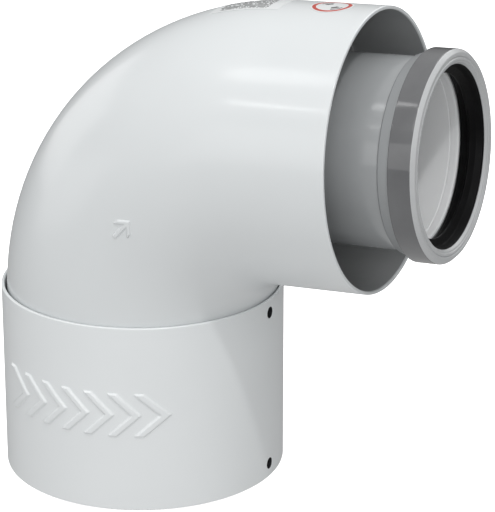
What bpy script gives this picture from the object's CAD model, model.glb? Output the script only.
import math

import bpy
import numpy as np
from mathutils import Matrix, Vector


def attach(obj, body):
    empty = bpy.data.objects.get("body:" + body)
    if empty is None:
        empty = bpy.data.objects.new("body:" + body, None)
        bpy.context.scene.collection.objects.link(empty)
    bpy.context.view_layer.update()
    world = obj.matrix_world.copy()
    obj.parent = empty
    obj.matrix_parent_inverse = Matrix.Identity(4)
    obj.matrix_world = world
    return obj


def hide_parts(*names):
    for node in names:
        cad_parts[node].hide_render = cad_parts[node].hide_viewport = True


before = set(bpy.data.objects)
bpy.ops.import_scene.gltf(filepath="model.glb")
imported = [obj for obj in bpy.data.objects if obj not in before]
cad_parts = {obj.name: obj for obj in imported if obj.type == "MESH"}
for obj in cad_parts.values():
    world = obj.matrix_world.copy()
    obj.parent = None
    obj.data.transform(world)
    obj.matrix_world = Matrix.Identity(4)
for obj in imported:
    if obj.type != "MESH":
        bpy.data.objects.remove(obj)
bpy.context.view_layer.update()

# Shapes are worked out in millimetres, and make_piece turns them into metres
MM = 0.001

# Sizes repeated from part.scad
DUCT_R = 50.0
DUCT_WALL = 1.3
DUCT_FOOT = 33.0
BEND = math.radians(87.0)
BEND_R = 64.0
BEND_Z = 66.0
OUTLET = 34.0
SLEEVE_R = 52.0
SLEEVE_H = 70.0
BORE_R = 50.4
SEAT_R = 50.1
RIM_R = 50.95
FLARE_Z = 66.0
SEAT_Z = 32.6
HOLE_R = 2.1
HOLE_Z = (5.2, 64.8)
RELIEF_Z = 37.0
FLUE_R = 30.0
FLUE_IN_R = 28.0
SPIGOT_Z = 10.0
LEAD_IN = 2.5
LEAD_IN_DEPTH = 0.8
INLET_RIB = 59.9
RIB_START = 0.6
RIB_H = 1.0
RIB_LEN = 0.8
SPACER_ROOM = 4.4
CONE_LEN = 4.0
BARREL_R = 33.4
SOCKET_R = 30.4
SOCKET_FLOOR = 20.0
FLANGE_R = 35.6
CUP_R = 34.85
CUP_IN_R = 33.2
CUP_REAR = 16.2
CAP_R = 36.9
CAP_IN_R = 31.5
CAP_WALL = 2.0
CAP_LIP = 1.5
CAP_REAR = 17.0
CAP_FRONT = 26.5
SLIP = 0.05

# Stations run along the pipe's axis from z = 0; the mouth is where the duct ends
ARC = BEND_R * BEND
MOUTH = BEND_Z + ARC + OUTLET


# ---------------------------------------------------------------- shapes

def along_pipe(station, radius, angle):
    """Points at a station, radius and angle. Angle 0 is the outside of the bend."""
    station, radius, angle = np.broadcast_arrays(station, radius, angle)
    phi = np.clip((station - BEND_Z) / BEND_R, 0.0, BEND)
    low = np.minimum(station - BEND_Z, 0.0)
    high = np.maximum(station - BEND_Z - ARC, 0.0)
    x = BEND_R * (1 - np.cos(phi)) + high * math.sin(BEND)
    z = BEND_Z + BEND_R * np.sin(phi) + low + high * math.cos(BEND)
    out = radius * np.cos(angle)
    return np.stack([x - out * np.cos(phi), -radius * np.sin(angle), z + out * np.sin(phi)], -1)


def around_z(z, radius, angle):
    """Points on the sleeve. Angle 0 is +X."""
    z, radius, angle = np.broadcast_arrays(z, radius, angle)
    return np.stack([radius * np.cos(angle), radius * np.sin(angle), z], -1)


HOLD = 0.3           # share of a rounding that stays flat before and after its arc
BEND_STEP = 3.0      # longest stretch of a profile that follows the bend without a point
CLEAR = 0.2          # no point is added this close to a corner
ROUND_SIDES = 160    # points around a turned piece
SMOOTH_UP_TO = math.radians(40)


def rounded(corners, steps=4):
    """A closed loop of (station, radius) from corners (station, radius, rounding)."""
    out = []
    for i, (s, r, size) in enumerate(corners):
        p = np.array([s, r])
        if size <= 0:
            out.append(p)
            continue
        u = np.array(corners[i - 1][:2]) - p
        v = np.array(corners[(i + 1) % len(corners)][:2]) - p
        u, v = u / np.linalg.norm(u), v / np.linalg.norm(v)
        half = math.acos(float(np.clip(u @ v, -1, 1))) / 2
        reach = size / math.tan(half)
        middle = p + (u + v) / np.linalg.norm(u + v) * size / math.sin(half)
        first, last = p + u * reach - middle, p + v * reach - middle
        turn = math.acos(float(np.clip(first @ last / size ** 2, -1, 1)))
        out.append(p + u * (reach + HOLD * size))
        for k in range(steps + 1):
            a, b = math.sin((1 - k / steps) * turn), math.sin(k / steps * turn)
            out.append(middle + (first * a + last * b) / math.sin(turn))
        out.append(p + v * (reach + HOLD * size))
    return out


def filled_in(loop):
    """The loop with more points wherever it follows the bend."""
    out = []
    for i, p in enumerate(loop):
        q = loop[(i + 1) % len(loop)]
        out.append(p)
        low, high = min(p[0], q[0]), max(p[0], q[0])
        start, end = max(low, BEND_Z), min(high, BEND_Z + ARC)
        if end - start <= BEND_STEP:
            continue
        stops = np.linspace(start, end, int((end - start) / BEND_STEP) + 1)
        stops = [x for x in stops if low + CLEAR < x < high - CLEAR]
        for x in stops if q[0] > p[0] else reversed(stops):
            t = (x - p[0]) / (q[0] - p[0])
            out.append(p + (q - p) * t)
    return np.array(out)


def make_piece(name, points, faces, body, node, finishes):
    """A mesh object from points in millimetres, with its faces turned outwards."""
    points = np.asarray(points, float) * MM
    mesh = bpy.data.meshes.new(name)
    mesh.from_pydata(points.tolist(), [], [list(f) for f in faces])
    mesh.validate()
    mesh.update()
    obj = bpy.data.objects.new(name, mesh)
    bpy.context.scene.collection.objects.link(obj)
    if signed_volume(mesh) < 0:
        mesh.flip_normals()
    mesh.shade_smooth()
    mesh.set_sharp_from_angle(angle=SMOOTH_UP_TO)
    for finish in finishes:
        mesh.materials.append(finish)
    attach(obj, body)
    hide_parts(node)
    return obj


def signed_volume(mesh):
    """Six times the mesh's volume, negative where its faces point inwards."""
    mesh.calc_loop_triangles()
    co = np.zeros(len(mesh.vertices) * 3)
    mesh.vertices.foreach_get("co", co)
    co = co.reshape(-1, 3)
    tri = np.zeros(len(mesh.loop_triangles) * 3, int)
    mesh.loop_triangles.foreach_get("vertices", tri)
    a, b, c = (co[tri.reshape(-1, 3)[:, k]] for k in range(3))
    return float(np.einsum("ij,ij->i", a, np.cross(b, c)).sum())


def ring_faces(rows, columns):
    """Quads of a grid that closes both ways."""
    i, j = np.meshgrid(np.arange(rows), np.arange(columns), indexing="ij")
    i2, j2 = (i + 1) % rows, (j + 1) % columns
    quads = np.stack([i * columns + j, i2 * columns + j, i2 * columns + j2, i * columns + j2], -1)
    return quads.reshape(-1, 4)


def turned(name, loop, body, node, finishes, sides=ROUND_SIDES):
    """A ring or pipe: a profile loop carried around the pipe's axis."""
    loop = np.array(loop)
    angle = np.linspace(0, 2 * math.pi, sides, endpoint=False)
    points = along_pipe(loop[:, :1], loop[:, 1:], angle[None, :])
    faces = ring_faces(len(loop), sides)
    return make_piece(name, points.reshape(-1, 3), faces, body, node, finishes)


def polygon_distance(x, y, corners):
    """Signed distance to a closed polygon, negative inside."""
    best = np.full(x.shape, 1e9)
    inside = np.zeros(x.shape, bool)
    for (ax, ay), (bx, by) in zip(corners, corners[1:] + corners[:1]):
        ex, ey = bx - ax, by - ay
        t = np.clip(((x - ax) * ex + (y - ay) * ey) / (ex * ex + ey * ey), 0, 1)
        best = np.minimum(best, np.hypot(x - ax - ex * t, y - ay - ey * t))
        crosses = (ay > y) != (by > y)
        with np.errstate(divide="ignore", invalid="ignore"):
            inside ^= crosses & (x < (bx - ax) * (y - ay) / (by - ay) + ax)
    return np.where(inside, -best, best)


def soft_step(distance, width):
    """1 well inside, 0 outside, with a smooth flank of that width centred on the edge."""
    t = np.clip(0.5 - distance / width, 0, 1)
    return t * t * (3 - 2 * t)


def spread(parts):
    """Sorted values from (start, end, count) runs, without near repeats."""
    values = np.concatenate([np.linspace(a, b, n) for a, b, n in parts])
    values = np.sort(values)
    keep = np.concatenate([[True], np.diff(values) > 1e-6])
    return values[keep]


# ---------------------------------------------------------------- materials

TONE_RANGE = (0.35, 0.65)      # where a noise goes from the dark tone to the light one
GLOSS_RANGE = (0.3, 0.7)       # where a noise goes from the glossiest to the dullest
GLOSS_FINER = 7                # patches of gloss are this many times finer than patches of tone


def new_material(name, color, rough, **sockets):
    """A material of one tone, and its shader node."""
    mat = bpy.data.materials.new(name)
    mat.use_nodes = True
    shader = mat.node_tree.nodes["Principled BSDF"]
    shader.inputs["Base Color"].default_value = (*color, 1)
    shader.inputs["Roughness"].default_value = rough
    for key, value in sockets.items():
        shader.inputs[key.replace("_", " ")].default_value = value
    return mat, shader


def noise(tree, coords, scale, detail, roughness=0.5):
    n = tree.nodes.new("ShaderNodeTexNoise")
    n.inputs["Scale"].default_value = scale
    n.inputs["Detail"].default_value = detail
    n.inputs["Roughness"].default_value = roughness
    tree.links.new(coords.outputs["Object"], n.inputs["Vector"])
    return n.outputs["Fac"]


def ranged(tree, value, low, high, out_low, out_high):
    m = tree.nodes.new("ShaderNodeMapRange")
    m.inputs["From Min"].default_value = low
    m.inputs["From Max"].default_value = high
    m.inputs["To Min"].default_value = out_low
    m.inputs["To Max"].default_value = out_high
    tree.links.new(value, m.inputs["Value"])
    return m.outputs["Result"]


def tinted(tree, value, dark, light):
    """A colour between two close tones."""
    ramp = tree.nodes.new("ShaderNodeValToRGB")
    for element, position, tone in zip(ramp.color_ramp.elements, TONE_RANGE, (dark, light)):
        element.position = position
        element.color = (*tone, 1)
    tree.links.new(value, ramp.inputs["Fac"])
    return ramp.outputs["Color"]


def bumped(tree, shader, height, distance, strength):
    b = tree.nodes.new("ShaderNodeBump")
    b.inputs["Strength"].default_value = strength
    b.inputs["Distance"].default_value = distance
    tree.links.new(height, b.inputs["Height"])
    tree.links.new(b.outputs["Normal"], shader.inputs["Normal"])


def finish_of(name, dark, light, rough, swing, patch, grain, depth, strength, **sockets):
    """A moulded or painted surface of two close tones, in patches.

    Its roughness wanders by swing to either side. patch and grain are noise scales, and the
    grain is a relief of that depth in metres.
    """
    mat, shader = new_material(name, light, rough, **sockets)
    tree = mat.node_tree
    coords = tree.nodes.new("ShaderNodeTexCoord")
    broad = noise(tree, coords, patch, 3.0)
    tree.links.new(tinted(tree, broad, dark, light), shader.inputs["Base Color"])
    fine = noise(tree, coords, patch * GLOSS_FINER, 4.0, 0.6)
    tree.links.new(ranged(tree, fine, *GLOSS_RANGE, rough - swing, rough + swing),
                   shader.inputs["Roughness"])
    relief = noise(tree, coords, grain, 2.0)
    bumped(tree, shader, relief, depth, strength)
    return mat


paint = finish_of("gloss_paint", (0.775, 0.803, 0.812), (0.795, 0.823, 0.832), 0.30, 0.02,
                  18, 300, 0.00002, 0.12, Coat_Weight=0.25, Coat_Roughness=0.12)
sleeve_paint = finish_of("sleeve_paint", (0.86, 0.888, 0.897), (0.88, 0.908, 0.917), 0.32,
                         0.02, 18, 300, 0.00002, 0.12, Coat_Weight=0.25, Coat_Roughness=0.14)
bare_edge = finish_of("drilled_edge", (0.018, 0.018, 0.02), (0.026, 0.026, 0.028), 0.5, 0.05,
                      300, 2000, 0.00002, 0.2, Specular_IOR_Level=0.2)
inside_paint = finish_of("inside_primer", (0.36, 0.37, 0.375), (0.39, 0.40, 0.405), 0.45, 0.05,
                         40, 420, 0.00004, 0.25)
plastic = finish_of("flue_plastic", (0.355, 0.368, 0.376), (0.375, 0.388, 0.396), 0.15, 0.02,
                    60, 1400, 0.00003, 0.20)
bore_plastic = finish_of("flue_bore", (0.905, 0.915, 0.92), (0.925, 0.935, 0.94), 0.40, 0.04,
                         60, 1400, 0.00003, 0.20)
cap_plastic = finish_of("cap_plastic", (0.145, 0.147, 0.152), (0.170, 0.173, 0.178), 0.09,
                        0.02, 60, 900, 0.00003, 0.10)
cap_face = finish_of("cap_face", (0.53, 0.542, 0.55), (0.56, 0.572, 0.58), 0.34, 0.04,
                     60, 1200, 0.00003, 0.20)
spacer_plastic = finish_of("spacer_plastic", (0.40, 0.41, 0.42), (0.43, 0.44, 0.45), 0.42, 0.05,
                           80, 1400, 0.00003, 0.25)
rubber = finish_of("seal_rubber", (0.002, 0.002, 0.0022), (0.004, 0.004, 0.0044), 0.5, 0.06,
                   120, 1600, 0.00004, 0.35, Specular_IOR_Level=0.12)
film = finish_of("label_film", (0.80, 0.82, 0.825), (0.83, 0.85, 0.855), 0.34, 0.03,
                 90, 700, 0.00002, 0.15)
ink = finish_of("label_ink", (0.055, 0.057, 0.06), (0.085, 0.087, 0.09), 0.45, 0.04,
                900, 900, 0.00002, 0.10)
red_ink = finish_of("label_red", (0.50, 0.050, 0.030), (0.58, 0.070, 0.045), 0.42, 0.04,
                    900, 900, 0.00002, 0.10)


# ---------------------------------------------------------------- camera

# place, direction and lens were fitted to the outlines in the photo
camera = bpy.data.objects.new("camera", bpy.data.cameras.new("camera"))
bpy.context.scene.collection.objects.link(camera)
bpy.context.scene.camera = camera
camera.location = (0.4038, -0.7439, 0.3843)
look = Vector((-0.41047, 0.84598, -0.34033))
camera.rotation_euler = look.to_track_quat("-Z", "Y").to_euler()
camera.data.sensor_width = 36.0
camera.data.lens = 171.95
camera.data.clip_start = 0.01

# ---------------------------------------------------------------- drilled shells

HOLE_CELLS = 8                     # cells of the grid along each side of a hole's block
RIM_EDGE = 0.4                     # rounding of a rim's outer edge
RIM_FLAT = 0.05                    # a rim's flat starts this far from its rounded edges
OUTSIDE, INSIDE, BARE = 0, 1, 2    # a shell's finishes, in order


def lip(end, sign, r_out, r_in, edge, inner_edge):
    """Points over one rim, from the outer wall to the inner one."""
    arc = [(end - sign * edge * (1 - math.sin(t)), r_out - edge * (1 - math.cos(t)))
           for t in np.linspace(0, math.pi / 2, 5)]
    arc.append((end, r_out - edge - RIM_FLAT))
    arc.append((end, r_in + inner_edge + RIM_FLAT))
    arc += [(end - sign * inner_edge * (1 - math.cos(t)), r_in + inner_edge * (1 - math.sin(t)))
            for t in np.linspace(0, math.pi / 2, 4)]
    return arc


def nearest(values, value):
    return int(np.argmin(np.abs(values - value)))


class Shell:
    """A round wall as a closed grid: outer rows, one rim, inner rows, the other rim."""

    def __init__(self, place, ends, stations, angles, r_out, r_in, edge, inner_edge):
        self.place, self.stations, self.angles = place, stations, angles
        self.r_out, self.r_in = r_out, r_in
        rows = [(s, r_out) for s in stations]
        self.n_side = len(rows)
        rows += lip(ends[1], 1, r_out, r_in(ends[1]), edge, inner_edge)
        self.inner_start = len(rows)
        rows += [(s, float(r_in(s))) for s in stations[::-1]]
        self.inner_end = len(rows)
        rows += lip(ends[0], -1, r_out, r_in(ends[0]), edge, inner_edge)[::-1]
        self.rows = np.array(rows)
        self.flat = place(self.rows[:, :1], self.rows[:, 1:], angles[None, :])
        self.columns = len(angles)
        self.outer = np.arange(len(rows))[:, None] < self.n_side
        self.faces = ring_faces(len(rows), self.columns)
        self.gone = np.zeros(len(self.faces), bool)
        self.extra_points, self.extra_faces, self.extra_finish = [], [], []

    def raise_by(self, height):
        """Move the outer wall out by a height at each of its points."""
        radius = self.rows[:, 1:] + height * self.outer
        self.flat = self.place(self.rows[:, :1], radius, self.angles[None, :])

    def border(self, rows_at, columns_at):
        """Indices of the points around a block, in order."""
        a, b = rows_at[0], rows_at[-1]
        walk = [(a, c) for c in columns_at] + [(r, columns_at[-1]) for r in rows_at[1:]]
        walk += [(b, c) for c in columns_at[-2::-1]]
        walk += [(r, columns_at[0]) for r in rows_at[-2:0:-1]]
        return [r * self.columns + c for r, c in walk]

    def drill(self, station, angle, pad, radius, chamfer):
        """A round hole with a broken outer edge, in a square block of the grid."""
        first = nearest(self.angles, angle - pad / self.r_out)
        columns_at = [first + k for k in range(HOLE_CELLS + 1)]
        low = nearest(self.stations, station - pad)
        rows_out = [low + k for k in range(HOLE_CELLS + 1)]
        rows_in = [self.inner_start + self.n_side - 1 - r for r in rows_out]
        row_of, column_of = self.faces[:, 0] // self.columns, self.faces[:, 0] % self.columns
        block_out = (row_of >= rows_out[0]) & (row_of < rows_out[-1])
        block_in = (row_of >= rows_in[-1]) & (row_of < rows_in[0])
        in_columns = (column_of >= columns_at[0]) & (column_of < columns_at[-1])
        self.gone |= (block_out | block_in) & in_columns
        rings = [self.border(rows_out, columns_at)]
        # each ring is wider than the hole by so much and so deep; the last is on the inner wall
        for wider, depth in ((1.8 * chamfer, 0.0), (chamfer, 0.02), (0.25 * chamfer, chamfer / 2),
                             (0.0, 1.2 * chamfer), (0.0, None)):
            ring = []
            for index in rings[0]:
                a = self.angles[index % self.columns] - angle
                v = np.array([a * self.r_out, self.stations[index // self.columns] - station])
                v = v / np.linalg.norm(v) * (radius + wider)
                r = self.r_in(station + v[1]) if depth is None else self.r_out - depth
                ring.append(len(self.rows) * self.columns + len(self.extra_points))
                self.extra_points.append(self.place(station + v[1], r, angle + v[0] / self.r_out))
            rings.append(ring)
        rings.append(self.border(rows_in, columns_at))
        finishes = (OUTSIDE, OUTSIDE, OUTSIDE, BARE, BARE, INSIDE)
        for one, two, finish in zip(rings, rings[1:], finishes):
            for k in range(len(one)):
                m = (k + 1) % len(one)
                self.extra_faces.append((one[k], one[m], two[m], two[k]))
                self.extra_finish.append(finish)

    def build(self, name, body, node, finishes):
        """The piece in its finishes: outside, inner wall and the holes' bare edges."""
        points = np.vstack([self.flat.reshape(-1, 3), np.array(self.extra_points)])
        kept = self.faces[~self.gone]
        row_of = kept[:, 0] // self.columns
        inner = (row_of >= self.inner_start) & (row_of < self.inner_end - 1)
        finish = np.where(inner, INSIDE, OUTSIDE).tolist() + self.extra_finish
        obj = make_piece(name, points, kept.tolist() + self.extra_faces, body, node,
                         finishes)
        obj.data.polygons.foreach_set("material_index", finish)
        return obj


# ---------------------------------------------------------------- air duct elbow

PILOT_R = 1.5
PILOT_PAD = 2.4      # half a side of the square block around each pilot hole
PILOT_EDGE = 0.12
DUCT_INNER_EDGE = 0.3
DUCT_ROW = 0.8       # the wall's first and last rows are this far from the rims
MARK = 9.0           # length of the arrow on the side of the bend
MARK_H = 0.6
MARK_LINE = 1.3
BARB = 3.4
BARB_LEN = 1.4 * MARK_LINE
MARK_AT = 0.49       # share of the bend at which the mark is
MARK_R = BEND_R - 3
MARK_ROOM = 6.0      # the grid is finer this far to either side of the mark
MARK_ARC = (math.radians(82), math.radians(98))
MARK_FLANK = 0.45
MARK_SIDE_Y = -45.0  # the mark is only on the near side, beyond this

mark_phi = MARK_AT * BEND
mark_x = BEND_R - MARK_R * math.cos(mark_phi)
mark_z = BEND_Z + MARK_R * math.sin(mark_phi)
mark_station = BEND_Z + BEND_R * mark_phi
tip, root = MARK / 2, MARK / 2 - BARB_LEN - MARK_LINE / 2
upper_half = [(root, MARK_LINE / 2), (tip - BARB - BARB_LEN, BARB), (tip - BARB, BARB)]
arrow = [(-MARK / 2, -MARK_LINE / 2)] + [(x, -y) for x, y in upper_half]
arrow += [(tip, 0)] + upper_half[::-1] + [(-MARK / 2, MARK_LINE / 2)]

pad = PILOT_PAD / DUCT_R
mark_start, mark_end = mark_station - MARK_ROOM, mark_station + MARK_ROOM
duct_angles = spread([
    (-pad, pad, HOLE_CELLS + 1), (pad, MARK_ARC[0], 34),
    (MARK_ARC[0], MARK_ARC[1], 72), (MARK_ARC[1], math.pi - pad, 34),
    (math.pi - pad, math.pi + pad, HOLE_CELLS + 1), (math.pi + pad, 2 * math.pi - pad, 72)])[:-1]
duct_stations = spread([
    (DUCT_FOOT + DUCT_ROW, HOLE_Z[1] - PILOT_PAD, 3),
    (HOLE_Z[1] - PILOT_PAD, HOLE_Z[1] + PILOT_PAD, HOLE_CELLS + 1),
    (HOLE_Z[1] + PILOT_PAD, mark_start, 15), (mark_start, mark_end, 61),
    (mark_end, BEND_Z + ARC, 17), (BEND_Z + ARC, MOUTH - DUCT_ROW, 3)])
duct = Shell(along_pipe, (DUCT_FOOT, MOUTH), duct_stations, duct_angles, DUCT_R,
             lambda station: DUCT_R - DUCT_WALL, RIM_EDGE, DUCT_INNER_EDGE)
du, dv = duct.flat[..., 0] - mark_x, duct.flat[..., 2] - mark_z
turn = math.pi / 2 - mark_phi
ahead = du * math.cos(turn) + dv * math.sin(turn)
across = -du * math.sin(turn) + dv * math.cos(turn)
raised = MARK_H * soft_step(polygon_distance(ahead, across, arrow), MARK_FLANK)
duct.raise_by(raised * (duct.flat[..., 1] < MARK_SIDE_Y))
for angle in (0.0, math.pi):
    duct.drill(HOLE_Z[1], angle, PILOT_PAD, PILOT_R, PILOT_EDGE)
duct.build("air_duct", "elbow", "outer_elbow", [paint, inside_paint, bare_edge])

# ---------------------------------------------------------------- clamp sleeve

HOLE_PAD = 3.0       # half a side of the square block around each screw hole
HOLE_EDGE = 0.25
SLEEVE_INNER_EDGE = 0.15
BORE_STEP = 0.1      # half the length of the step between the two bores
SLEEVE_ROW = 0.7     # the wall's first and last rows are this far from the rims
RELIEF_H = 0.7
RELIEF_FLANK = 0.6
RELIEF_ARC = (math.radians(229), math.radians(311))
RELIEF_BAND = (RELIEF_Z - 10, RELIEF_Z + 10)
RELIEF_SIDE_Y = -20.0    # the chevrons are only on the near side, beyond this
CHEVRONS = 7
CHEVRON_STEP = 9.0
CHEVRON_HIGH = 16.0
CHEVRON_LINE = 3.0


def bore_of_sleeve(z):
    """The sleeve's bore, its step, its seat and its flared rim."""
    return np.interp(z, [0, SEAT_Z - BORE_STEP, SEAT_Z + BORE_STEP, FLARE_Z, SLEEVE_H],
                     [BORE_R, BORE_R, SEAT_R, SEAT_R, RIM_R])


pad = HOLE_PAD / SLEEVE_R
sleeve_angles = spread([
    (-pad, pad, HOLE_CELLS + 1), (pad, math.pi - pad, 66),
    (math.pi - pad, math.pi + pad, HOLE_CELLS + 1),
    (math.pi + pad, RELIEF_ARC[0], 18), (RELIEF_ARC[0], RELIEF_ARC[1], 250),
    (RELIEF_ARC[1], 2 * math.pi - pad, 18)])[:-1]
sleeve_z = spread([
    (SLEEVE_ROW, HOLE_Z[0] - HOLE_PAD, 3),
    (HOLE_Z[0] - HOLE_PAD, HOLE_Z[0] + HOLE_PAD, HOLE_CELLS + 1),
    (HOLE_Z[0] + HOLE_PAD, RELIEF_BAND[0], 8), (RELIEF_BAND[0], RELIEF_BAND[1], 72),
    (RELIEF_BAND[1], HOLE_Z[1] - HOLE_PAD, 6),
    (HOLE_Z[1] - HOLE_PAD, HOLE_Z[1] + HOLE_PAD, HOLE_CELLS + 1),
    (HOLE_Z[1] + HOLE_PAD, SLEEVE_H - SLEEVE_ROW, 3)])
sleeve = Shell(around_z, (0.0, SLEEVE_H), sleeve_z, sleeve_angles, SLEEVE_R, bore_of_sleeve,
               RIM_EDGE, SLEEVE_INNER_EDGE)
back, tip = -CHEVRON_HIGH / 4 - CHEVRON_LINE / 2, CHEVRON_HIGH / 4 - CHEVRON_LINE / 2
height = np.zeros(sleeve.flat.shape[:2])
for n in range(-(CHEVRONS // 2), CHEVRONS // 2 + 1):
    chevron = [(CHEVRON_STEP * n + x, z) for x, z in
               ((back, CHEVRON_HIGH / 2), (back + CHEVRON_LINE, CHEVRON_HIGH / 2),
                (tip + CHEVRON_LINE, 0), (back + CHEVRON_LINE, -CHEVRON_HIGH / 2),
                (back, -CHEVRON_HIGH / 2), (tip, 0))]
    distance = polygon_distance(sleeve.flat[..., 0], sleeve.flat[..., 2] - RELIEF_Z, chevron)
    height = np.maximum(height, RELIEF_H * soft_step(distance, RELIEF_FLANK))
sleeve.raise_by(height * (sleeve.flat[..., 1] < RELIEF_SIDE_Y))
for angle in (0.0, math.pi):
    for hole_z in HOLE_Z:
        sleeve.drill(hole_z, angle, HOLE_PAD, HOLE_R, HOLE_EDGE)
sleeve.build("sleeve_band", "sleeve", "clamp_sleeve",
             [sleeve_paint, inside_paint, bare_edge])

# ---------------------------------------------------------------- flue pipe, cap and seal

RIB_PITCH = RIB_LEN + SPACER_ROOM    # a spacer sits between two ribs
OUTLET_RIB = MOUTH - OUTLET + RIB_START
CONE = OUTLET_RIB + RIB_PITCH        # the last rib is the foot of the socket's cone
LINE_AT = 13.0                       # a fine line around the inside of the socket
LINE_DEPTH = 0.25
CAP_SIDES = 200
GROOVE_R = 34.1                      # a fine groove in the cap's face
GROOVE = 0.4
FACE_STEP = 0.3                      # the inner part of the cap's face is this much lower


def rib(start, foot=0.0):
    """Corners of a rib around the flue pipe. foot is the rounding where it starts."""
    end, top = start + RIB_LEN, FLUE_R + RIB_H
    return [(start, FLUE_R, foot), (start, top, 0.25), (end, top, 0.25), (end, FLUE_R, 0.0)]


def from_mouth(*corners):
    """The corners, with their stations counted from the duct's mouth."""
    return [(MOUTH + s, r, size) for s, r, size in corners]


pipe = [(SPIGOT_Z, FLUE_IN_R, 0.3), (SPIGOT_Z, FLUE_R - LEAD_IN_DEPTH, 0.3),
        (SPIGOT_Z + LEAD_IN, FLUE_R, 0.8)]
pipe += rib(INLET_RIB, 0.15) + rib(INLET_RIB + RIB_PITCH) + rib(OUTLET_RIB)
pipe += [(CONE, FLUE_R, 0.0), (CONE, FLUE_R + RIB_H, 0.0), (CONE + RIB_LEN, FLUE_R + RIB_H, 0.0),
         (CONE + RIB_LEN + CONE_LEN, BARREL_R, 1.2)]
# the barrel, its flange, the cup that holds the seal, and the socket down to its floor
pipe += from_mouth(
    (12.0, BARREL_R, 0.4), (12.8, 34.6, 0.5), (16.4, FLANGE_R, 0.3),
    (CAP_REAR - SLIP, FLANGE_R, 0.2), (CAP_REAR - SLIP, CUP_R, 0.0),
    (CAP_FRONT - CAP_LIP - SLIP, CUP_R, 0.2), (CAP_FRONT - CAP_LIP - SLIP, CUP_IN_R, 0.2),
    (CUP_REAR, CUP_IN_R, 0.0), (CUP_REAR, SOCKET_R, 0.8),
    (LINE_AT + 0.4, SOCKET_R, 0.0), (LINE_AT + 0.2, SOCKET_R + LINE_DEPTH, 0.0),
    (LINE_AT - 0.2, SOCKET_R + LINE_DEPTH, 0.0), (LINE_AT - 0.4, SOCKET_R, 0.0),
    (-SOCKET_FLOOR, SOCKET_R, 0.6), (-SOCKET_FLOOR, FLUE_IN_R, 0.5))
pipe = filled_in(rounded(pipe, steps=3))
flue = turned("flue_pipe", pipe, "elbow", "flue_elbow",
              [plastic, bore_plastic])
# the socket's wall and floor with their rounded edges, which are lighter in the photo
in_bore = (pipe[:, 1] < SOCKET_R + 0.9) & (pipe[:, 0] > MOUTH - SOCKET_FLOOR - 0.6)
in_bore &= np.roll(in_bore, -1)
flue.data.polygons.foreach_set("material_index", np.repeat(in_bore.astype(int), ROUND_SIDES))

cap = rounded(from_mouth(
    (CAP_REAR, CAP_R - CAP_WALL, 0.0), (CAP_REAR, CAP_R, 0.35),
    (CAP_FRONT - 1.4, CAP_R, 0.8), (CAP_FRONT, 35.6, 0.5),
    (CAP_FRONT, GROOVE_R + GROOVE, 0.1), (CAP_FRONT - GROOVE, GROOVE_R, 0.05),
    (CAP_FRONT, GROOVE_R - GROOVE, 0.1), (CAP_FRONT, 33.1, 0.1),
    (CAP_FRONT - FACE_STEP, 32.85, 0.05), (CAP_FRONT - FACE_STEP, 32.3, 0.3),
    (CAP_FRONT - CAP_LIP, CAP_IN_R, 0.2), (CAP_FRONT - CAP_LIP, CAP_R - CAP_WALL, 0.0)), steps=5)
ring = turned("socket_ring", cap, "elbow", "socket_cap",
              [cap_plastic, cap_face], CAP_SIDES)
axis = Vector((math.sin(BEND), 0, math.cos(BEND)))
for polygon in ring.data.polygons:
    if polygon.normal.dot(axis) > 0.5:
        polygon.material_index = 1

# the seal's body in the cup, and its free lip, which reaches in to a radius of 28.3
seal = rounded(from_mouth(
    (16.25, 33.15, 0.2), (24.9, 33.15, 0.2), (24.9, 31.6, 0.5), (22.4, 30.9, 0.6),
    (21.2, 28.3, 0.35), (20.2, 28.6, 0.3), (20.4, 30.8, 0.5), (17.6, 30.9, 0.5),
    (16.25, 31.8, 0.3)))
turned("lip_seal", seal, "elbow", "flue_seal", [rubber])

# ---------------------------------------------------------------- spacers

for node in ("inlet_spacer", "outlet_spacer"):
    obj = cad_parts[node]
    obj.data.materials.clear()
    obj.data.materials.append(spacer_plastic)

# ---------------------------------------------------------------- labels

FILM = 0.08
FILM_GAP = 0.03      # between the film and the duct
BLANK, INK, RED = 0, 1, 2    # a label's inks, in order


def film_piece(name, node, u, v, cells, place, inks):
    """A thin curved film over a grid of u and v. cells gives the ink of each of its faces."""
    uu, vv = np.meshgrid(u, v, indexing="ij")
    top = place(uu, vv, FILM_GAP + FILM).reshape(-1, 3)
    under = place(uu, vv, FILM_GAP).reshape(-1, 3)
    row, shift = len(v), len(u) * len(v)
    starts = [i * row + j for i in range(len(u) - 1) for j in range(row - 1)]
    quads = [(k, k + row, k + row + 1, k + 1) for k in starts]
    edges = dict.fromkeys((a, b) for q in quads for a, b in zip(q, q[1:] + q[:1]))
    under_quads = [tuple(k + shift for k in q[::-1]) for q in quads]
    sides = [(b, a, a + shift, b + shift) for a, b in edges if (b, a) not in edges]
    obj = make_piece(name, np.vstack([top, under]), quads + under_quads + sides, "elbow",
                     node, inks)
    colors = cells.ravel().tolist() + [BLANK] * (len(under_quads) + len(sides))
    obj.data.polygons.foreach_set("material_index", colors)


def lines_of(start, end, pitch, share):
    """Edges of evenly spaced bars, each a share of the pitch wide."""
    out = []
    x = start
    while x < end - 1e-6:
        out += [x, min(x + pitch * share, end)]
        x += pitch
    return out


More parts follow.
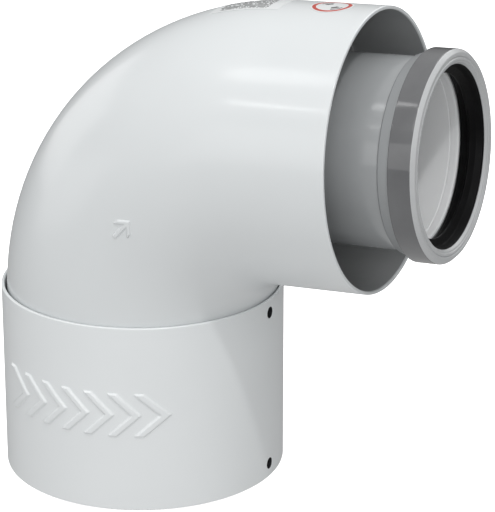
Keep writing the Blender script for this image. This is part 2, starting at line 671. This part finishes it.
# the data label ends where the bend ends; u runs along the bend's outside, v across it
LABEL_LEN, LABEL_W = 27.0, 15.0
PRINT = (3.0, 22.6)  # where the rows of print start and end
PRINT_HALF = 6.2
PRINT_PITCH = 1.5
PRINT_SHARE = 0.6    # share of the pitch that a row of print takes
DASH = 0.45          # length of the shortest dash of the print
INK_SHARE = 0.78     # share of the dashes that are inked
label_shrink = BEND_R / (BEND_R + DUCT_R)
u_lines = np.concatenate([[0.0], np.arange(*PRINT, DASH), [LABEL_LEN]])
v_rows = lines_of(-PRINT_HALF, PRINT_HALF, PRINT_PITCH, PRINT_SHARE)
v_lines = np.array([-LABEL_W / 2] + v_rows + [LABEL_W / 2])
cells = np.zeros((len(u_lines) - 1, len(v_lines) - 1), int)
dots = np.random.default_rng(7)
inked = dots.random((len(u_lines) - 3, len(v_rows) // 2)) < INK_SHARE
cells[1:-1, 1::2] = np.where(inked, INK, BLANK)


def on_bend(u, v, lift):
    station = BEND_Z + ARC - LABEL_LEN * label_shrink + u * label_shrink
    return along_pipe(station, DUCT_R + lift, v / DUCT_R)


film_piece("data_film", "data_label", u_lines, v_lines, cells, on_bend, [film, ink])

# the round label, from its middle outwards: two pairs of bars and a red ring
ROUND_R = 7.5
ROUND_AT = 17.0      # distance of its middle from the duct's mouth
ROUND_CELLS = 72
BARS = range(4, 15)  # cells that a bar spans, in each half of the label
turns = np.linspace(0, 2 * math.pi, ROUND_CELLS + 1)
rings = np.array([0.02, 1.0, 2.0, 2.8, 3.6, 4.3, 5.0, 5.6, 6.2, 6.9, ROUND_R])
cells = np.zeros((len(rings) - 1, ROUND_CELLS), int)
cells[7:9, :] = RED
for j in range(ROUND_CELLS):
    if j % (ROUND_CELLS // 2) in BARS:
        cells[2:4, j] = INK
        cells[5, j] = INK


def on_outlet(u, v, lift):
    along, across = u * np.cos(v), u * np.sin(v)
    return along_pipe(MOUTH - ROUND_AT + along, DUCT_R + lift, across / DUCT_R)


film_piece("round_film", "round_label", rings, turns, cells, on_outlet, [film, ink, red_ink])

# ---------------------------------------------------------------- floor and light

# a round floor that curves up into a plain backdrop, just below the sleeve's lowest position
FLOOR_Z = -0.0255
SWEEP_SIDES = 64
SWEEP_R = 3.2
SWEEP_BEND = 0.8
SWEEP_STEPS = 8
SWEEP_TOP = 3.0

profile = [(0.5, 0.0), (1.5, 0.0)]
for step in range(SWEEP_STEPS + 1):
    a = math.radians(90 * step / SWEEP_STEPS)
    profile.append((SWEEP_R - SWEEP_BEND * (1 - math.sin(a)), SWEEP_BEND * (1 - math.cos(a))))
profile.append((SWEEP_R, SWEEP_TOP))
floor_points = [(0.0, 0.0, FLOOR_Z)]
floor_faces = []
for k, (r, z) in enumerate(profile):
    for j in range(SWEEP_SIDES):
        a = 2 * math.pi * j / SWEEP_SIDES
        floor_points.append((r * math.cos(a), r * math.sin(a), FLOOR_Z + z))
        here, after = 1 + k * SWEEP_SIDES + j, 1 + k * SWEEP_SIDES + (j + 1) % SWEEP_SIDES
        if k == 0:
            floor_faces.append((0, here, after))
        else:
            floor_faces.append((here - SWEEP_SIDES, here, after, after - SWEEP_SIDES))
floor_mesh = bpy.data.meshes.new("floor")
floor_mesh.from_pydata(floor_points, [], floor_faces)
floor_mesh.shade_smooth()
floor = bpy.data.objects.new("floor", floor_mesh)
bpy.context.scene.collection.objects.link(floor)
floor_mat, shader = new_material("floor", (0.9, 0.9, 0.9), 0.8)
shader.inputs["Emission Color"].default_value = (1, 1, 1, 1)
shader.inputs["Emission Strength"].default_value = 0.9
floor_mat.cycles.emission_sampling = "NONE"
floor_mesh.materials.append(floor_mat)

# the dark spot on which the sleeve stands at rest, seen only through its lower screw holes
SHADE_R = 0.0495
SHADE_Z = 0.0002
turn_by = 2 * math.pi / SWEEP_SIDES
shade_rim = [(SHADE_R * math.cos(turn_by * j), SHADE_R * math.sin(turn_by * j), SHADE_Z)
             for j in range(SWEEP_SIDES)]
shade_mesh = bpy.data.meshes.new("shade")
shade_mesh.from_pydata(shade_rim, [], [tuple(range(SWEEP_SIDES))])
shade = bpy.data.objects.new("shade", shade_mesh)
bpy.context.scene.collection.objects.link(shade)
shade_mat, _ = new_material("shade", (0.004, 0.004, 0.004), 0.9, Specular_IOR_Level=0.0)
shade_mesh.materials.append(shade_mat)

# both are clear from behind, so that the object shows from below as well
for stage, mat in ((floor, floor_mat), (shade, shade_mat)):
    nodes, links = mat.node_tree.nodes, mat.node_tree.links
    output = next(n for n in nodes if n.type == "OUTPUT_MATERIAL")
    front = output.inputs["Surface"].links[0].from_socket
    side = nodes.new("ShaderNodeNewGeometry")
    clear = nodes.new("ShaderNodeBsdfTransparent")
    choice = nodes.new("ShaderNodeMixShader")
    links.new(side.outputs["Backfacing"], choice.inputs["Fac"])
    links.new(front, choice.inputs[1])
    links.new(clear.outputs[0], choice.inputs[2])
    links.new(choice.outputs[0], output.inputs["Surface"])
    stage.visible_diffuse = False
    stage.visible_glossy = False
    stage.visible_shadow = False

CENTRE = Vector((0.03, 0.0, 0.09))
FRONT = math.atan2(camera.location.y - CENTRE.y, camera.location.x - CENTRE.x)


def softbox(name, turn, height, reach, size, power):
    """A rectangular soft light around the object. Turn 0 is the camera's side, + its left."""
    light = bpy.data.lights.new(name, "AREA")
    light.shape = "RECTANGLE"
    light.size, light.size_y = size
    light.energy = power
    obj = bpy.data.objects.new(name, light)
    bpy.context.scene.collection.objects.link(obj)
    a = FRONT - math.radians(turn)
    obj.location = CENTRE + Vector((reach * math.cos(a), reach * math.sin(a), height))
    aim = CENTRE - obj.location
    obj.rotation_euler = aim.to_track_quat("-Z", "Y").to_euler()


# large boxes all around, and small ones for the highlights and for the shade on the sleeve
softbox("front", 0, 0.36, 1.3, (0.9, 0.7), 5.0)
softbox("left_low", 40, 0.30, 1.3, (0.9, 0.6), 2.0)
softbox("left_high", 40, 1.0, 0.9, (0.4, 0.4), 0.8)
softbox("lamp", -19, 1.18, 0.75, (0.06, 0.06), 3.2)
softbox("window", 80, 1.10, 0.69, (0.22, 0.22), 0.7)
softbox("strip", 60, 0.84, 1.0, (0.12, 0.03), 0.3)
softbox("right_low", -70, 0.36, 1.3, (0.9, 0.7), 1.3)
softbox("right_high", -110, 0.84, 1.0, (0.9, 0.9), 0.4)
softbox("back_right", -150, 0.84, 1.0, (0.9, 0.9), 4.5)
softbox("back_left", 130, 0.30, 1.3, (0.9, 0.6), 2.0)
softbox("side_left", 95, 0.05, 1.3, (0.9, 0.4), 1.0)

# light from a white ceiling and from a white table, and little from the horizon
CEILING, TABLE, HORIZON = 0.79, 0.75, 0.05
world = bpy.data.worlds.new("studio")
bpy.context.scene.world = world
world.use_nodes = True
tree = world.node_tree
nodes, links = tree.nodes, tree.links
coords = nodes.new("ShaderNodeTexCoord")
split = nodes.new("ShaderNodeSeparateXYZ")
links.new(coords.outputs["Generated"], split.inputs["Vector"])
sky = nodes.new("ShaderNodeValToRGB")
sky.color_ramp.elements[0].position = 0.0
sky.color_ramp.elements[0].color = (TABLE, TABLE, TABLE, 1)
sky.color_ramp.elements[1].position = 1.0
sky.color_ramp.elements[1].color = (CEILING, CEILING, CEILING, 1)
sky.color_ramp.elements.new(0.5).color = (HORIZON, HORIZON, HORIZON, 1)
links.new(ranged(tree, split.outputs["Z"], -1, 1, 0, 1), sky.inputs["Fac"])
links.new(sky.outputs["Color"], nodes["Background"].inputs["Color"])
bpy.context.scene.view_settings.view_transform = "Standard"
